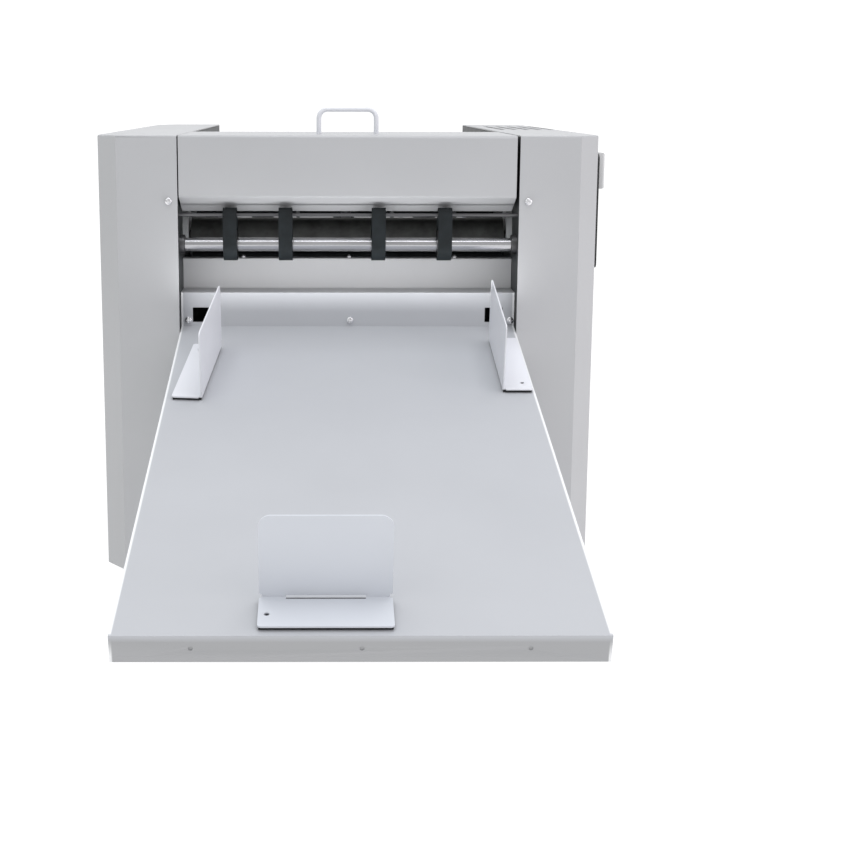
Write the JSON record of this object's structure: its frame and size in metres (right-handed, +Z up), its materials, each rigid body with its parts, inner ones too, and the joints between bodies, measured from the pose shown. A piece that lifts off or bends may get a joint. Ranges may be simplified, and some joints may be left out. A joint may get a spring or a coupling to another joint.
{
  "type": "die cutting machine",
  "caption": "Desktop sheet-fed die cutter with pale sheet-metal casings, hinged cover, delivery belts and a sloping delivery tray with magnetic guides.",
  "frame": {"origin": "underside of the base pan at the centre of the body, between the four bolt-down holes; the feet reach 14 mm below it", "axes": "+X to the operator's right when facing the delivery tray, +Y from the delivery side back to the feed deck, +Z up"},
  "size_m": [0.573, 1.3039, 0.5405],
  "materials": {
    "powder_coat": "satin fine orange-peel powder coat, pale grey",
    "white_coat": "smooth near-white powder coat",
    "dark_frame": "matte black painted steel",
    "steel": "ground and turned bright steel",
    "zinc_screw": "zinc-plated screws",
    "aluminium": "anodised extrusion",
    "black_rubber": "matte black rubber",
    "dark_motor": "black motor laminations and caps",
    "grey_plastic": "light grey moulded plastic",
    "black_plastic": "black moulded plastic",
    "green_board": "printed circuit board",
    "dark_steel": "oiled dark steel",
    "black_anodised": "black anodised extrusion",
    "magnet_pad": "flexible magnetic sheet"
  },
  "bodies": {
    "chassis": {"base_pan": "powder_coat", "rubber_feet": "black_rubber", "left_side_frame": "dark_frame", "right_side_frame": "dark_frame", "left_casing": "powder_coat", "right_casing": "powder_coat", "lower_front_panel": "powder_coat", "delivery_tray": "powder_coat", "tray_gussets": "powder_coat", "panel_screws": "zinc_screw", "cover_hinge_pins": "steel", "delivery_belts": "black_rubber", "roller_end_blocks": "grey_plastic", "shaft_bearings": "dark_steel", "main_motor": "dark_motor", "drive_belt": "black_rubber", "cutting_platen": "aluminium", "cutting_strip": "black_rubber", "feed_motor": "dark_motor", "pickup_motor": "dark_motor", "press_bar": "dark_frame", "carriage_beam": "black_anodised", "carriage_rail": "steel", "carriage_motor": "dark_motor", "carriage_belt": "black_rubber", "feed_deck": "powder_coat", "separator_pad": "black_rubber", "power_supply": "steel", "control_board": "green_board", "power_inlet": "black_plastic", "side_panel": "black_plastic", "display_housing": "grey_plastic"},
    "cover": {"front_cover": "powder_coat", "cover_handle": "white_coat"},
    "delivery_shaft": {"exit_shaft": "steel", "exit_wheels": "black_plastic"},
    "belt_idler": {"idler_rod": "dark_steel"},
    "upper_pull_roller": {"pull_roller": "black_rubber"},
    "lower_pinch_roller": {"pinch_roller": "black_rubber"},
    "feed_roller": {"grit_roller": "steel"},
    "press_wheels": {"press_axle": "black_rubber"},
    "pickup": {"pickup_shaft": "steel", "pickup_rollers": "black_rubber"},
    "drive_pulley": {"main_motor_pulley": "aluminium"},
    "head": {"carriage": "aluminium"},
    "tool": {"tool_slider": "black_plastic", "blade_holder": "aluminium"},
    "head_drive_pulley": {"carriage_pulley": "aluminium"},
    "head_idler_pulley": {"carriage_idler": "aluminium"},
    "left_stop": {"left_guide": "white_coat", "left_guide_magnet": "magnet_pad"},
    "right_stop": {"right_guide": "white_coat", "right_guide_magnet": "magnet_pad"},
    "front_stop": {"end_stop": "white_coat", "end_stop_magnet": "magnet_pad"},
    "left_fence": {"feed_guide_left": "white_coat"},
    "right_fence": {"feed_guide_right": "white_coat"},
    "rocker": {"power_switch": "black_plastic"},
    "start_key": {"start_button": "black_plastic"},
    "stop_key": {"stop_button": "black_plastic"}
  },
  "joints": [
    {"name": "cover_hinge", "type": "hinge", "parent": "chassis", "child": "cover", "pos_m": [0, -0.168, 0.486], "axis": [-1, 0, 0], "range_deg": [0, 75]},
    {"name": "pull_roller_spin", "type": "hinge", "parent": "chassis", "child": "upper_pull_roller", "pos_m": [0, -0.265, 0.38], "axis": [1, 0, 0], "continuous": true},
    {"name": "exit_shaft_spin", "type": "hinge", "parent": "chassis", "child": "delivery_shaft", "pos_m": [0, -0.325, 0.3742], "axis": [1, 0, 0], "continuous": true},
    {"name": "idler_rod_spin", "type": "hinge", "parent": "chassis", "child": "belt_idler", "pos_m": [0, -0.3355, 0.408], "axis": [1, 0, 0], "continuous": true},
    {"name": "pinch_roller_spin", "type": "hinge", "parent": "chassis", "child": "lower_pinch_roller", "pos_m": [0, -0.265, 0.3516], "axis": [1, 0, 0], "continuous": true},
    {"name": "motor_pulley_spin", "type": "hinge", "parent": "chassis", "child": "drive_pulley", "pos_m": [0, -0.22, 0.286], "axis": [1, 0, 0], "continuous": true},
    {"name": "grit_roller_spin", "type": "hinge", "parent": "chassis", "child": "feed_roller", "pos_m": [0, -0.115, 0.3517], "axis": [1, 0, 0], "continuous": true},
    {"name": "press_axle_spin", "type": "hinge", "parent": "chassis", "child": "press_wheels", "pos_m": [0, -0.115, 0.3683], "axis": [1, 0, 0], "continuous": true},
    {"name": "pickup_spin", "type": "hinge", "parent": "chassis", "child": "pickup", "pos_m": [0, 0.045, 0.3822], "axis": [1, 0, 0], "continuous": true},
    {"name": "head_slide", "type": "slide", "parent": "chassis", "child": "head", "axis": [1, 0, 0], "range_m": [-0.135, 0.135]},
    {"name": "head_pulley_spin", "type": "hinge", "parent": "chassis", "child": "head_drive_pulley", "pos_m": [0.166, -0.114, 0.466], "axis": [0, 1, 0], "range_deg": [-900, 900]},
    {"name": "head_idler_spin", "type": "hinge", "parent": "chassis", "child": "head_idler_pulley", "pos_m": [-0.166, -0.114, 0.466], "axis": [0, 1, 0], "range_deg": [-900, 900]},
    {"name": "tool_press", "type": "slide", "parent": "head", "child": "tool", "axis": [0, 0, -1], "range_m": [0, 0.003], "stiffness_N_per_m": 1500, "springref_m": -0.002},
    {"name": "left_guide_slide", "type": "slide", "parent": "chassis", "child": "left_stop", "axis": [1, 0, 0], "range_m": [0, 0.11]},
    {"name": "right_guide_slide", "type": "slide", "parent": "chassis", "child": "right_stop", "axis": [-1, 0, 0], "range_m": [0, 0.11]},
    {"name": "end_stop_slide", "type": "slide", "parent": "chassis", "child": "front_stop", "axis": [0, 0.9755, 0.2198], "range_m": [0, 0.36]},
    {"name": "left_fence_slide", "type": "slide", "parent": "chassis", "child": "left_fence", "axis": [1, 0, 0], "range_m": [0, 0.06]},
    {"name": "right_fence_slide", "type": "slide", "parent": "chassis", "child": "right_fence", "axis": [-1, 0, 0], "range_m": [0, 0.06]},
    {"name": "power_rocker", "type": "hinge", "parent": "chassis", "child": "rocker", "pos_m": [-0.235, 0.344, 0.087], "axis": [1, 0, 0], "range_deg": [0, 14]},
    {"name": "start_press", "type": "slide", "parent": "chassis", "child": "start_key", "axis": [-1, 0, 0], "range_m": [0, 0.002], "stiffness_N_per_m": 900, "springref_m": -0.0005},
    {"name": "stop_press", "type": "slide", "parent": "chassis", "child": "stop_key", "axis": [-1, 0, 0], "range_m": [0, 0.002], "stiffness_N_per_m": 900, "springref_m": -0.0005}
  ],
  "couplings": [
    {"joint": "exit_shaft_spin", "follows": "pull_roller_spin", "ratio": 1.1667},
    {"joint": "idler_rod_spin", "follows": "pull_roller_spin", "ratio": 2.9077},
    {"joint": "motor_pulley_spin", "follows": "pull_roller_spin", "ratio": 1.4},
    {"joint": "pinch_roller_spin", "follows": "pull_roller_spin", "ratio": -2.5},
    {"joint": "press_axle_spin", "follows": "grit_roller_spin", "ratio": -1},
    {"joint": "head_pulley_spin", "follows": "head_slide", "rad_per_m": -111.11},
    {"joint": "head_idler_spin", "follows": "head_slide", "rad_per_m": -111.11}
  ]
}
